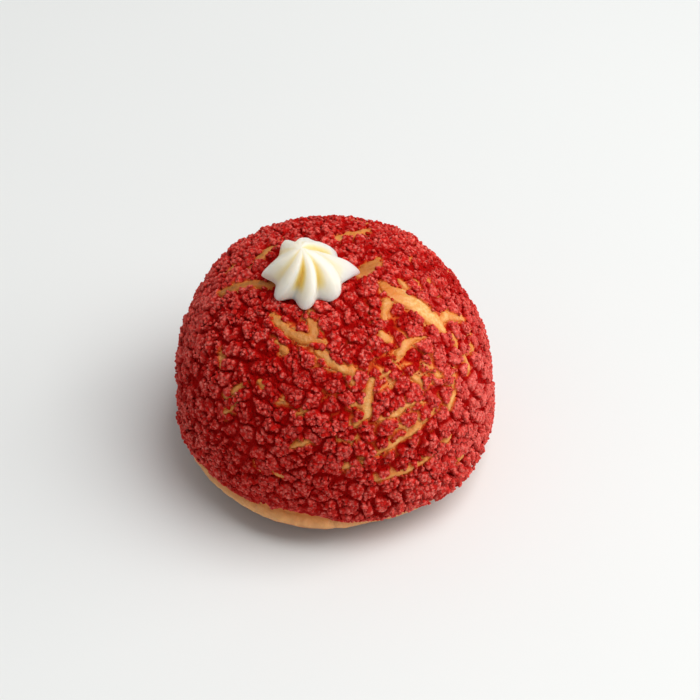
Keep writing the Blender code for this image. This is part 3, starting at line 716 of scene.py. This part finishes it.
def star_surface(rings=76, segments=400):
    """Reach runs evenly from ridge to ridge and dips between them in a soft valley; going up, it follows a round
    shoulder while the ridges twist and the middle drifts; the ridge on the right falls off faster, to a thin point;
    the foot curls in under the ridges.
    Marks: valley, where the cream is painted a darker yellow as painted shade."""
    full = 2 * math.pi
    ridges = np.array(sorted((math.radians(b % 360), *rest) for b, *rest in STAR_RIDGES))
    around = np.concatenate([ridges[-1:], ridges, ridges[:1]])
    around[0, 0] -= full
    around[-1, 0] += full
    turn = np.arange(segments) * full / segments
    phase = np.interp(turn, around[:, 0], np.arange(len(around)))
    here = np.minimum(phase.astype(int), len(around) - 2)
    share = phase - here
    reach = np.interp(phase, np.arange(len(around)), around[:, 1])
    roundness = np.where(share < 0.5, around[here, 2], around[here + 1, 2])
    dip = np.sin(math.pi * share) ** roundness
    climb = np.linspace(0, math.pi / 2, rings)[:, None]
    up = STAR_WIDEST + (1 - STAR_WIDEST) * np.sin(climb) ** (2 / STAR_ROUNDNESS)
    inward = np.cos(climb) ** (2 / STAR_ROUNDNESS)
    under = np.linspace(0, 1, 10)[1:-1, None]
    curl = np.linspace(0, 1, 8)[1:-1, None]
    up = np.concatenate([0 * under, STAR_WIDEST * curl**1.3, up])[:-1]
    inward = np.concatenate([0.84 * under, 0.84 + 0.16 * np.sin(math.pi / 2 * curl), inward])[:-1]
    middle_share = np.sin(math.pi * np.clip(up, 0, 1)) ** 0.8
    taper = 1 + 1.3 * np.exp(-(((turn - math.radians(88)) / 0.42) ** 2))
    valley = around[here, 3] * (1 - middle_share) + around[here, 4] * middle_share
    radius = 0.96 * reach[None] * inward ** taper[None] * (1 - valley * dip[None])
    angle = turn[None] + STAR_TWIST * up
    middle = on_bun(*STAR_PLACE, STAR_FOOT_LIFT)
    x = middle[0] + radius * np.sin(angle) + STAR_DRIFT[0] * up
    y = middle[1] - radius * np.cos(angle) + STAR_DRIFT[1] * up
    from_crown = np.hypot(x + LEAN * DOME_RISE / BUN_HEIGHT, y)
    seat = np.interp(from_crown, RADIUS[:1500], HEIGHT[:1500]) + STAR_FOOT_LIFT
    top = middle[2] + STAR_HEIGHT
    z = seat + (top - seat) * up
    skin = np.stack([x, y, z], axis=-1)
    soft = 0.10 * rough(skin, 2.2, 61) + 0.05 * rough(skin, 0.8, 62)
    outward = skin - middle
    skin += outward / np.maximum(np.linalg.norm(outward, axis=-1), 1.0)[..., None] * soft[..., None]
    tip = middle + [STAR_DRIFT[0], STAR_DRIFT[1], STAR_HEIGHT]
    points = np.concatenate([[tip], skin[::-1].reshape(-1, 3), [middle]])
    # Painted shade: the valleys are marked to be painted a darker yellow.
    deep = (valley * dip[None] * smooth_step(0.05, 0.4, up))[::-1].ravel()
    marks = {"valley": np.concatenate([[0], deep, [0]])}
    return points, ringed_faces(len(radius), segments), marks


cream, surface = shader("piped_cream", 0.38, 0.45)
surface.inputs["Subsurface Weight"].default_value = 1.0
surface.inputs["Subsurface Radius"].default_value = (1.0, 0.88, 0.75)
surface.inputs["Subsurface Scale"].default_value = 0.008
cloud = grain_of(cream, 3.5, 0.3, 0.7)
tint = blended(cream, cloud, (0.80, 0.735, 0.60), (0.82, 0.76, 0.64))
# Painted shade: the cream is painted a darker yellow in its valleys.
tint = blended(cream, ranged(cream, mark_value(cream, "valley"), 0.14, 0.34), tint, (0.80, 0.62, 0.20))
cream.node_tree.links.new(tint, surface.inputs["Base Color"])
bumped(cream, surface, grain_of(cream, 1.2, detail=2.0), 0.1, 0.3)

star = new_piece("piped_star", *star_surface())
star.data.materials.append(cream)
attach(star, "root")
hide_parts("cream_star")

# ---------------------------------------------------------------------------------------------------------------
# The table: a plain pale sheet that the bun stands on.
# ---------------------------------------------------------------------------------------------------------------
bpy.ops.mesh.primitive_plane_add(size=3.0, location=(0, 0, -0.00005))
table = bpy.context.object
table.name = "table"
paper, surface = shader("pale_sheet", 0.7, 0.2)
shade = blended(paper, grain_of(paper, 120.0, detail=2.0), (0.795, 0.81, 0.805), (0.825, 0.84, 0.83))
paper.node_tree.links.new(shade, surface.inputs["Base Color"])
table.data.materials.append(paper)

# ---------------------------------------------------------------------------------------------------------------
# Light: a broad soft window high on the right and a little behind, and even light from all round.
# ---------------------------------------------------------------------------------------------------------------
world = bpy.data.worlds.new("studio")
bpy.context.scene.world = world
world.use_nodes = True
world.node_tree.nodes["Background"].inputs["Color"].default_value = (1.0, 1.0, 1.0, 1.0)
world.node_tree.nodes["Background"].inputs["Strength"].default_value = 0.35


def lamp(name, bearing, elevation, distance, size, power, colour):
    """A square area light at this bearing, elevation and distance from the bun, turned to face it."""
    light = bpy.data.lights.new(name, "AREA")
    light.size, light.energy, light.color = size, power, colour
    holder = bpy.data.objects.new(name, light)
    turn, up = math.radians(bearing), math.radians(elevation)
    holder.location = (
        distance * math.cos(up) * math.sin(turn),
        -distance * math.cos(up) * math.cos(turn),
        distance * math.sin(up),
    )
    holder.rotation_euler = (math.pi / 2 - up, 0.0, turn)
    bpy.context.scene.collection.objects.link(holder)


lamp("window", 78, 66, 1.0, 0.75, 8.3, (1.0, 0.995, 0.985))
lamp("side_window", 90, 20, 1.0, 0.9, 4.0, (1.0, 0.995, 0.985))

# ---------------------------------------------------------------------------------------------------------------
# Camera: in front of the bun and well above it.
# ---------------------------------------------------------------------------------------------------------------
ELEVATION, DISTANCE = math.radians(46.0), 0.545
camera = bpy.data.objects.new("camera", bpy.data.cameras.new("camera"))
camera.data.lens, camera.data.sensor_width = 122.6, 36.0
aim = np.array([0.0030, 0.00055 * math.sin(ELEVATION), 0.028 + 0.00055 * math.cos(ELEVATION)])
camera.location = aim + DISTANCE * np.array([0.0, -math.cos(ELEVATION), math.sin(ELEVATION)])
camera.rotation_euler = (math.pi / 2 - ELEVATION, 0.0, 0.0)
bpy.context.scene.collection.objects.link(camera)
bpy.context.scene.camera = camera
bpy.context.scene.view_settings.view_transform = "Standard"
